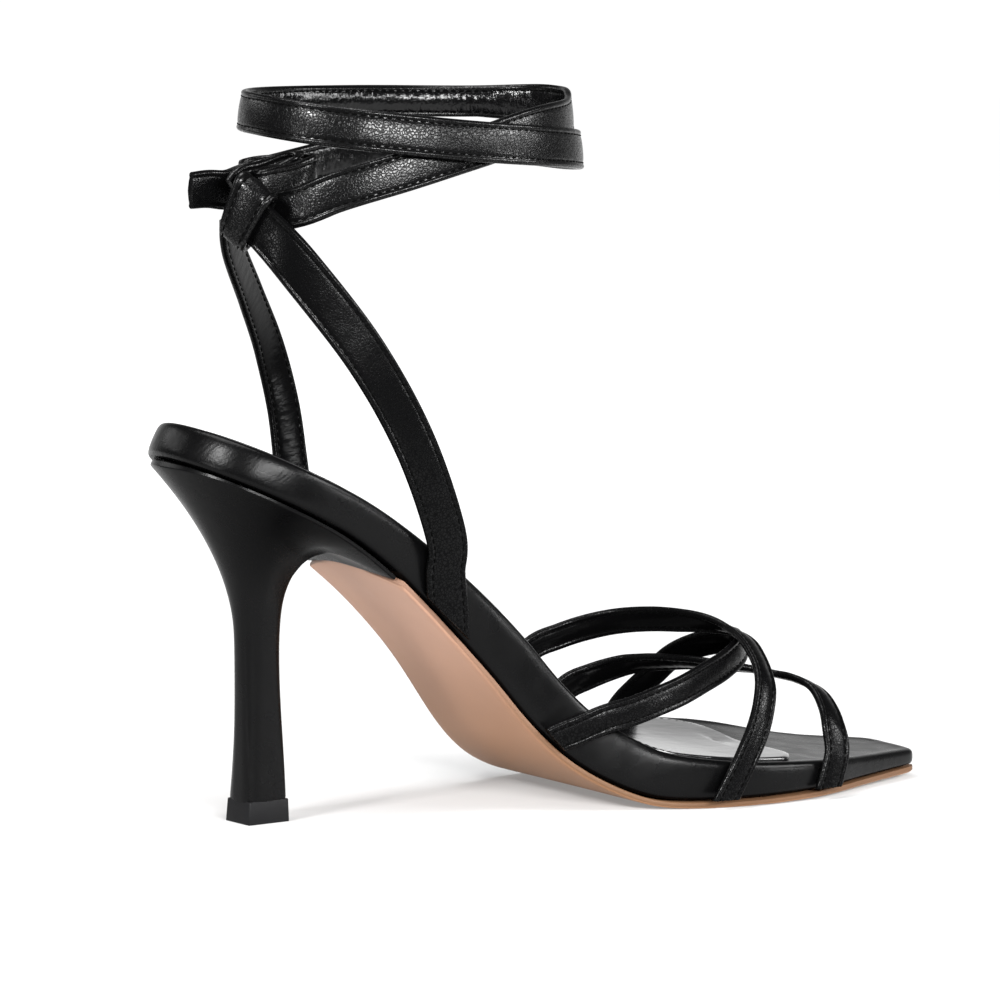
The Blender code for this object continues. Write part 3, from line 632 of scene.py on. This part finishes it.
strap_leather = grained_leather("strap_leather", gloss=0.11, relief=0.013 * MM)
tie_leather = grained_leather("tie_leather", gloss=0.25, relief=0.022 * MM)
strap_skins = (strap_leather, crinkled_lining("strap_lining", gloss=0.05, depth=0.1 * MM))
tie_skins = (tie_leather, crinkled_lining("tie_lining", gloss=0.26, depth=0.5 * MM))
thread = sewing_thread()
LINING_TILT = -0.5
LINING_INSET = 1.8


def dress_strap(strip, width, skins, lined_from):
    """Gives a strip its leather, and past some length its lining on the middle of the inner face."""
    for skin in skins:
        strip.data.materials.append(skin)
    for face in strip.data.polygons:
        inner = face.normal.z < LINING_TILT and abs(face.center.y) < (width / 2 - LINING_INSET) * MM
        face.material_index = int(inner and face.center.x > lined_from * MM)


def make_strap(name, width, points, facing, skins=strap_skins, lined_from=0.0, plan=None):
    """Flat strap and its stitches, dressed and laid along a line."""
    length = line_length(points)[0]
    strip = flat_strip(name, length, width)
    dress_strap(strip, width, skins, lined_from)
    stitches = stitch_rows(name + "_stitches", length, width)
    stitches.data.materials.append(thread)
    for thing in (strip, stitches):
        lay(thing, width, points, facing, plan)
        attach(thing, "root")
    return strip, stitches


TOE_STRAPS = [
    ("rear_medial_strap", REAR_MEDIAL_STRAP, 7.5),
    ("outer_strap", OUTER_STRAP, 7.0),
    ("front_medial_strap", FRONT_MEDIAL_STRAP, 7.6),
]
for label, route, width in TOE_STRAPS:
    rows = even_line(route)
    facing = facing_ways(rows[:, 3], rows[:, 4])
    pieces = make_strap(label, width, rows[:, :3], facing)
    for piece in pieces:
        for end in (route[0], route[-1]):
            trim(piece, "forefoot_straps", end[:3])
    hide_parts("forefoot_straps")

# Slings: a wider strap on each side, made like the toe straps, from the sole's seam at the shank up
# to the back of the ankle, where they carry the tie.
MEDIAL_WIDTH = 11.0
LATERAL_WIDTH = 10.4
SLING_LEAN = -5.0
Sling = namedtuple("Sling", "x y z facing")
MEDIAL_SLING = [
    Sling(68.8, -20.3, 43.0, -90),
    Sling(68.0, -20.6, 51.5, -90),
    Sling(66.2, -21.8, 60.8, -90),
    Sling(64.7, -24.0, 70.8, -90),
    Sling(54.4, -26.0, 92.9, -92),
    Sling(41.1, -25.0, 114.1, -98),
    Sling(26.4, -18.4, 134.3, -122),
    Sling(20.4, -12.0, 143.2, -146),
    Sling(16.6, -7.6, 147.9, -152),
    Sling(15.7, -6.7, 148.7, -154),
]
LATERAL_SLING = [
    Sling(53.2, 25.9, 55.0, 90),
    Sling(52.6, 26.1, 64.0, 92),
    Sling(51.3, 26.5, 74.0, 95),
    Sling(50.0, 27.0, 85.0, 99),
    Sling(47.8, 27.2, 98.3, 103),
    Sling(42.8, 26.0, 113.0, 108),
    Sling(33.5, 18.9, 126.3, 116),
    Sling(22.8, 8.8, 138.9, 122),
    Sling(18.9, 3.6, 147.6, 126),
]
for label, route, width in (
    ("medial_sling", MEDIAL_SLING, MEDIAL_WIDTH),
    ("lateral_sling", LATERAL_SLING, LATERAL_WIDTH),
):
    rows = even_line(route)
    facing = facing_ways(rows[:, 3], np.full(len(rows), SLING_LEAN))
    pieces = make_strap(label + "_strap", width, rows[:, :3], facing)
    for piece in pieces:
        trim(piece, label, route[0][:3])
    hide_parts(label)

# Ankle tie: one long strap. Its free end comes out behind the keeper, it folds on itself behind the
# ankle, and then it goes twice round and crosses itself on the medial side.
TIE_WIDTH = 9.8
ANKLE_X = 66.0
ANKLE_LENGTH = 85.0
ANKLE_WIDTH = 60.0
LAP_STEP = 5.0
TIE_LEAN = 0.12
LEAN_RUN = (60.0, 120.0)
END_RUN = 14.0
END_SLANT = 0.147
END_SLIM = 0.11
END_SEAM = 1.6
END_MARGIN = 1.0
END_START = 0.6
FAR_TURNS = (-225, -262, -318, -345)
FAR_SLIM = 0.19
FAR_CROWN = 4.5
LINED_FROM = 45.0
UNLINED = 500.0
Fold = namedtuple("Fold", "x y z")
FOLDS = [
    Fold(6.4, -0.2, 152.2),
    Fold(11.5, 0.5, 152.6),
    Fold(16.8, 1.4, 152.4),
    Fold(21.4, 1.6, 153.6),
    Fold(26.2, 0.3, 155.6),
    Fold(31.0, -1.0, 156.4),
    Fold(35.0, -1.2, 157.0),
    Fold(36.8, 0.9, 157.2),
    Fold(33.4, 3.4, 156.2),
    Fold(27.2, 4.3, 155.6),
    Fold(24.4, 6.6, 154.6),
]
# A turn of 90 is the tie's lateral side and 0 its front; out is how far it stands off the ankle
Lap = namedtuple("Lap", "turn z out")
LAPS = [
    Lap(160, 153.8, 0.0),
    Lap(140, 154.4, 0.0),
    Lap(120, 156.0, 0.0),
    Lap(90, 160.0, 0.0),
    Lap(67, 162.6, 0.6),
    Lap(45, 164.3, 1.1),
    Lap(0, 163.0, 1.5),
    Lap(-25, 163.3, 2.3),
    Lap(-45, 163.9, 2.4),
    Lap(-90, 165.3, 2.3),
    Lap(-135, 167.9, 2.0),
    Lap(-180, 170.6, 0.6),
    Lap(-270, 172.8, 0.0),
    Lap(-315, 173.4, 0.5),
    Lap(-345, 174.2, 1.4),
    Lap(-360, 173.9, 1.1),
    Lap(-372, 173.4, 0.2),
    Lap(-385, 171.6, -0.3),
    Lap(-422, 168.8, 0.0),
    Lap(-450, 163.4, 0.0),
    Lap(-475, 157.7, 0.0),
    Lap(-498, 152.6, 0.0),
    Lap(-509, 149.7, 0.0),
    Lap(-520, 148.0, 0.0),
    Lap(-530, 147.0, 0.0),
]


def smooth_column(rows, column, at):
    """Value of a lap column on a smooth curve through its rows, which go down by turn."""
    turns = [row.turn for row in reversed(rows)]
    values = [getattr(row, column) for row in reversed(rows)]
    before = [max(i - 1, 0) for i in range(len(turns))]
    after = [min(i + 1, len(turns) - 1) for i in range(len(turns))]
    slopes = [(values[b] - values[a]) / (turns[b] - turns[a]) for a, b in zip(before, after)]
    i = min(max(np.searchsorted(turns, at, side="right") - 1, 0), len(turns) - 2)
    span = turns[i + 1] - turns[i]
    t = (at - turns[i]) / span
    start = (1 + 2 * t) * (1 - t) ** 2 * values[i] + t * (1 - t) ** 2 * span * slopes[i]
    end = t * t * (3 - 2 * t) * values[i + 1] - t * t * (1 - t) * span * slopes[i + 1]
    return start + end


def lap_point(turn):
    """Point of the tie at a turn round the ankle."""
    out = smooth_column(LAPS, "out", turn)
    x = ANKLE_X + (ANKLE_LENGTH / 2 + out) * cos(radians(turn))
    y = (ANKLE_WIDTH / 2 + out) * sin(radians(turn))
    return x, y, smooth_column(LAPS, "z", turn)


def upright_facing(points):
    """Ways that a strap on edge along a line faces."""
    return unit(np.cross(unit(np.gradient(points, axis=0)), (0.0, 0.0, -1.0)))


turns = np.arange(LAPS[0].turn, LAPS[-1].turn - 1, -LAP_STEP)
tie_line = even_line([tuple(fold) for fold in FOLDS] + [lap_point(turn) for turn in turns])
tie_facing = upright_facing(tie_line)
tie_facing[:, 2] += np.interp(np.arange(len(tie_line)) * LINE_STEP, LEAN_RUN, (0.0, TIE_LEAN))
far_marks = [
    np.argmin(np.linalg.norm(tie_line - np.array(lap_point(turn)), axis=1)) * LINE_STEP for turn in FAR_TURNS
]


def tie_plan(place):
    """Form of the flat tie: a slanted, slimmer free end, and a slimmer reach with a crowned lining."""
    x, y, z = place.T
    end = np.clip(1 - x / END_RUN, 0, 1)
    far = np.interp(x, far_marks, (0, 1, 1, 0)) * FAR_SLIM
    z = np.where(z < 0, z * (1 + FAR_CROWN * far * (1 - (2 * y / TIE_WIDTH) ** 2)), z)
    slim = 1 - END_SLIM * end - far
    return np.column_stack((x - END_SLANT * y * end, y * slim - far * TIE_WIDTH / 2, z))


tie = make_strap("ankle_tie_strap", TIE_WIDTH, tie_line, tie_facing, tie_skins, LINED_FROM, tie_plan)[0]
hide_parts("ankle_tie")

end_length = TIE_WIDTH - 2 * END_MARGIN
end_stitches = stitch_rows("tie_end_stitches", end_length, 2 * STITCH_INSET, END_START, ())
end_stitches.rotation_euler = (0, 0, pi / 2)
end_stitches.location = (END_SEAM * MM, -end_length / 2 * MM, 0)
bpy.ops.object.transform_apply()
lining_side = end_stitches.modifiers.new("lining", "MIRROR")
lining_side.use_axis = (False, False, True)
bpy.ops.object.modifier_apply(modifier="lining")
end_stitches.data.materials.append(thread)
lay(end_stitches, TIE_WIDTH, tie_line, tie_facing, tie_plan)
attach(end_stitches, "root")

# The rest of the tie's length lies behind the keeper in a bunch of folds, each higher than the one
# before it
BUNCH = [
    Fold(16.2, -5.5, 151.7),
    Fold(18.3, -5.0, 153.7),
    Fold(22.9, -4.0, 154.6),
    Fold(26.5, -3.4, 155.6),
    Fold(29.9, -3.0, 156.7),
    Fold(32.2, -3.1, 156.9),
    Fold(32.6, -4.2, 156.4),
    Fold(30.4, -5.2, 155.2),
    Fold(28.4, -5.5, 154.3),
    Fold(25.0, -5.6, 153.6),
    Fold(22.4, -6.0, 153.0),
    Fold(20.8, -7.0, 152.4),
    Fold(22.0, -8.0, 152.7),
    Fold(26.1, -8.1, 153.6),
    Fold(30.3, -7.8, 154.4),
    Fold(33.4, -7.2, 155.3),
    Fold(36.0, -6.0, 156.1),
    Fold(36.6, -4.6, 156.7),
    Fold(35.0, -3.6, 156.7),
]
bunch_line = even_line(BUNCH)
bunch_facing = upright_facing(bunch_line)
bunch = make_strap("ankle_tie_folds", TIE_WIDTH, bunch_line, bunch_facing, tie_skins, UNLINED)[0]
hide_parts("ankle_tie")

# Keeper: a short band of the strap leather wrapped round the top of the medial sling, sewn shut
# behind. It holds the tie's folds.
KEEPER_HEIGHT = 147.4
KEEPER_WIDTH = 8.4
KEEPER_CLEAR = 0.8
KEEPER_STEPS = 48
KEEPER_SQUARE = 3.2
STRAP_THICK = 1.8
# How far round the keeper from the middle of its back, and the share of the spread or skew there
KEEPER_SPREAD = 0.5
SPREAD_MARKS = ((0.0, 0.5), (0.22, 1.0), (0.32, 1.0), (0.60, 0.1), (0.74, -0.5), (1.0, 0.5))
KEEPER_SKEW = 1.3
SKEW_MARKS = ((0.0, 0.5), (0.22, 0.0), (0.32, 0.0), (0.74, 1.0), (1.0, 0.5))

sling_rows = even_line(MEDIAL_SLING)
sling_points = sling_rows[:, :3]
sling_facing = facing_ways(sling_rows[:, 3], np.zeros(len(sling_rows)))
sling_along = unit(np.gradient(sling_points, axis=0))
keeper_centre, keeper_along, keeper_front = (
    np.array([np.interp(KEEPER_HEIGHT, sling_points[:, 2], column) for column in columns.T])
    for columns in (sling_points, sling_along, sling_facing)
)
keeper_along /= np.linalg.norm(keeper_along)
keeper_across = np.cross(keeper_along, keeper_front)
keeper_across /= np.linalg.norm(keeper_across)
keeper_out = np.cross(keeper_across, keeper_along)
wide = MEDIAL_WIDTH / 2 + KEEPER_CLEAR + STRAP_THICK / 2
deep = STRAP_THICK + KEEPER_CLEAR
keeper_line = []
for i in range(KEEPER_STEPS + 1):
    angle = -pi / 2 + 2 * pi * i / KEEPER_STEPS
    side = np.sign(cos(angle)) * abs(cos(angle)) ** (2 / KEEPER_SQUARE)
    front = np.sign(sin(angle)) * abs(sin(angle)) ** (2 / KEEPER_SQUARE)
    keeper_line.append(keeper_centre + keeper_across * wide * side + keeper_out * deep * front)
keeper_line = even_line(keeper_line)
keeper_facing = np.cross(keeper_along, unit(np.gradient(keeper_line, axis=0)))
keeper_length = line_length(keeper_line)[0]


def keeper_plan(place):
    """Outline of the flat keeper: its upper edge spreads over the bunch of folds, and it lies askew."""
    x, y, z = place.T
    round_way = x / keeper_length
    spread = np.interp(round_way, *zip(*SPREAD_MARKS)) * KEEPER_SPREAD
    skew = np.interp(round_way, *zip(*SKEW_MARKS)) * KEEPER_SKEW
    return np.column_stack((x, np.where(y < 0, y * (1 + spread), y) + skew, z))


keeper = make_strap(
    "tie_keeper_band", KEEPER_WIDTH, keeper_line, unit(keeper_facing), tie_skins, UNLINED, keeper_plan
)[0]
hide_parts("tie_keeper")

# Insole sock: a thin glossy lining leather stuck on the footbed, from the seat to a front edge behind
# the toes. It is sewn along its edge from the shank forwards.
SOCK_BLACK = (0.006, 0.006, 0.0065, 1)
SOCK_ROUGHNESS = 0.16
SOCK_COAT = 0.4
COAT_ROUGHNESS = 0.08
RIPPLE_SCALE = 130.0
RIPPLE_DEPTH = 0.12 * MM
SOCK_SEAT = 0.4 * MM
SOCK_TILT = 0.35
RIM_STEP = 4
SOCK_SEAM = 1.0
SEAM_START = 75.0
SEAM_STEP = 6
SEAM_BULK = 1.7


def lip_edge(edge):
    """True for an edge between the sock's top and its side."""
    return sorted(face.normal.z > SOCK_TILT for face in edge.link_faces) == [False, True]


sock = cover("insole_sock", "insole_lining", levels=2, crease=0.9)
sock.location.z = -SOCK_SEAT
pick(sock)
bpy.ops.object.transform_apply()
sock_leather, tree, shader = blank_material("sock_leather", SOCK_BLACK, SOCK_ROUGHNESS)
shader.inputs["Coat Weight"].default_value = SOCK_COAT
shader.inputs["Coat Roughness"].default_value = COAT_ROUGHNESS
place = add_node(tree, "TexCoord", {}).outputs["Object"]
ripples = bump(tree, noise(tree, place, RIPPLE_SCALE, detail=2.0), RIPPLE_DEPTH)
tree.links.new(ripples, shader.inputs["Normal"])
sock.data.materials.append(sock_leather)

skin = bmesh.new()
skin.from_mesh(sock.data)
border = {edge for edge in skin.edges if lip_edge(edge)}
walk = [max((vertex for edge in border for vertex in edge.verts), key=lambda vertex: vertex.co.x)]
while border:
    step = next((edge for edge in walk[-1].link_edges if edge in border), None)
    if step is None:
        break
    border.remove(step)
    walk.append(step.other_vert(walk[-1]))
rim = np.array([vertex.co for vertex in walk[:-1]]) / MM + (SEAT_TO_TREAD, 0, 0)
skin.free()
rim = np.roll(rim, -np.argmin(rim[:, 0]), axis=0)
rim = even_line(rim[rim[:, 0] > SEAM_START][::RIM_STEP])
inward = unit(np.cross((0.0, 0.0, 1.0), unit(np.gradient(rim, axis=0))))
if np.sum(inward * (rim.mean(axis=0) - rim)) < 0:
    inward = -inward
seam = even_line((rim + inward * SOCK_SEAM)[::SEAM_STEP])
upward = np.tile((0.0, 0.0, 1.0), (len(seam), 1))
sock_stitches = stitch_rows("insole_stitches", line_length(seam)[0], 2 * STITCH_INSET, sides=())
sock_stitches.location.z = -SEAM_BULK * STITCH_SEAT * MM
sock_stitches.scale = (1, SEAM_BULK, SEAM_BULK)
bpy.ops.object.transform_apply()
sock_stitches.data.materials.append(thread)
lay(sock_stitches, 2 * STITCH_INSET, seam, upward)
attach(sock_stitches, "root")

# Studio: a white sweep lit from a large softbox overhead and a wide one beside the camera, with small
# ones round the shoe for its highlights, and a long lens at the height of the ankle.
VIEW_TURN = radians(32.069)
VIEW_DROP = radians(5.805)
VIEW_ROLL = radians(1.407)
VIEW_DISTANCE = 1.0486
VIEW_LENS = 151.92
VIEW_TARGET = Vector((0.066381, -0.001041, 0.076002))
SENSOR = 36.0

sight = Vector((sin(VIEW_TURN) * cos(VIEW_DROP), cos(VIEW_TURN) * cos(VIEW_DROP), -sin(VIEW_DROP)))
level = Vector((cos(VIEW_TURN), -sin(VIEW_TURN), 0))
over = level.cross(sight)
right = level * cos(VIEW_ROLL) + over * sin(VIEW_ROLL)
up = over * cos(VIEW_ROLL) - level * sin(VIEW_ROLL)
lens = bpy.data.cameras.new("studio_camera")
lens.lens = VIEW_LENS
lens.sensor_width = SENSOR
camera = bpy.data.objects.new("studio_camera", lens)
bpy.context.scene.collection.objects.link(camera)
turned = Matrix((right, up, -sight)).transposed().to_4x4()
camera.matrix_world = Matrix.Translation(VIEW_TARGET - sight * VIEW_DISTANCE) @ turned
bpy.context.scene.camera = camera

# The paper glows a little, more with its distance. In front of the frame, where the shoe would mirror
# it, it is dark
FLOOR_RADIUS = 60.0
FLOOR_SIDES = 64
FLOOR_WHITE = 0.42
FLOOR_ROUGHNESS = 0.9
FLOOR_GLOW = (0.24, 1.0)
GLOW_REACH = (0.15, 1.1)
FRONT_DIM = 0.07
FRONT_CONE = 0.85
FRONT_REACH = (-0.80, -0.35)

bpy.ops.object.select_all(action="DESELECT")
bpy.ops.mesh.primitive_circle_add(vertices=FLOOR_SIDES, radius=FLOOR_RADIUS, fill_type="NGON")
floor = bpy.context.object
floor.name = "studio_floor"
floor_paper, tree, shader = blank_material("lit_floor", (FLOOR_WHITE,) * 3 + (1,), FLOOR_ROUGHNESS)
place = add_node(tree, "TexCoord", {}).outputs["Object"]
away = Vector((sin(VIEW_TURN), cos(VIEW_TURN), 0))
spread = add_node(tree, "VectorMath", {0: place}, operation="LENGTH").outputs["Value"]
depth = add_node(tree, "VectorMath", {0: place, 1: away}, operation="DOT_PRODUCT").outputs["Value"]
glow = ramp(tree, spread, *GLOW_REACH, *FLOOR_GLOW, blend="SMOOTHSTEP")
cone = add_node(
    tree, "Math", {0: spread, 1: -FRONT_CONE, 2: depth}, operation="MULTIPLY_ADD"
).outputs["Value"]
fade = ramp(tree, cone, *FRONT_REACH, FRONT_DIM, blend="SMOOTHSTEP")
lit = add_node(tree, "Math", {0: glow, 1: fade}, operation="MULTIPLY").outputs["Value"]
paper = add_node(tree, "Math", {0: fade, 1: FLOOR_WHITE}, operation="MULTIPLY").outputs["Value"]
tree.links.new(paper, shader.inputs["Base Color"])
tree.links.new(lit, shader.inputs["Emission Strength"])
shader.inputs["Emission Color"].default_value = (1, 1, 1, 1)
shader.inputs["Specular IOR Level"].default_value = 0.0
floor.data.materials.append(floor_paper)

Lamp = namedtuple("Lamp", "name x y z wide high power")
LAMPS = [
    Lamp("overhead_softbox", -0.20, 0.05, 1.36, 0.9, 0.9, 21.0),
    Lamp("key_softbox", -0.18, -1.22, 0.50, 0.8, 0.2, 32.0),
    Lamp("left_softbox", -0.95, -0.33, 0.66, 0.2, 0.18, 15.0),
    Lamp("right_softbox", 0.96, -0.70, 0.62, 0.5, 0.36, 13.0),
    Lamp("back_softbox", -0.68, 0.87, 0.56, 0.8, 0.3, 2.2),
    Lamp("low_left_softbox", -0.98, -0.20, 0.13, 0.16, 0.22, 1.8),
    Lamp("low_right_softbox", 0.88, -0.74, 0.15, 0.25, 0.08, 2.2),
    Lamp("front_softbox", 0.60, -1.07, 0.49, 0.35, 0.12, 3.0),
]
LAMP_AIM = Vector((0.06, 0.0, 0.08))
for row in LAMPS:
    lamp = bpy.data.lights.new(row.name, "AREA")
    lamp.shape = "RECTANGLE"
    lamp.size = row.wide
    lamp.size_y = row.high
    lamp.energy = row.power
    holder = bpy.data.objects.new(row.name, lamp)
    bpy.context.scene.collection.objects.link(holder)
    holder.location = (row.x, row.y, row.z)
    holder.rotation_euler = (LAMP_AIM - holder.location).to_track_quat("-Z", "Y").to_euler()

WALL_TOP = 0.45
WALL_LIGHT = 1.05
ROOM_LIGHT = 0.15
WALL_SPREAD = (0.35, 0.97)
world = bpy.data.worlds.new("studio_walls")
bpy.context.scene.world = world
world.use_nodes = True
tree = world.node_tree
toward = add_node(tree, "TexCoord", {}).outputs["Generated"]
height = add_node(tree, "SeparateXYZ", {"Vector": toward}).outputs["Z"]
behind = add_node(tree, "VectorMath", {0: toward, 1: away}, operation="DOT_PRODUCT").outputs["Value"]
wall = ramp(tree, height, 0.0, WALL_TOP, WALL_LIGHT, ROOM_LIGHT, blend="SMOOTHSTEP")
share = ramp(tree, behind, *WALL_SPREAD, ROOM_LIGHT, blend="SMOOTHSTEP")
glow = add_node(tree, "Math", {0: wall, 1: share}, operation="MULTIPLY").outputs["Value"]
tree.links.new(glow, tree.nodes["Background"].inputs["Strength"])
tree.nodes["Background"].inputs["Color"].default_value = (1, 1, 1, 1)
bpy.context.scene.view_settings.view_transform = "Standard"
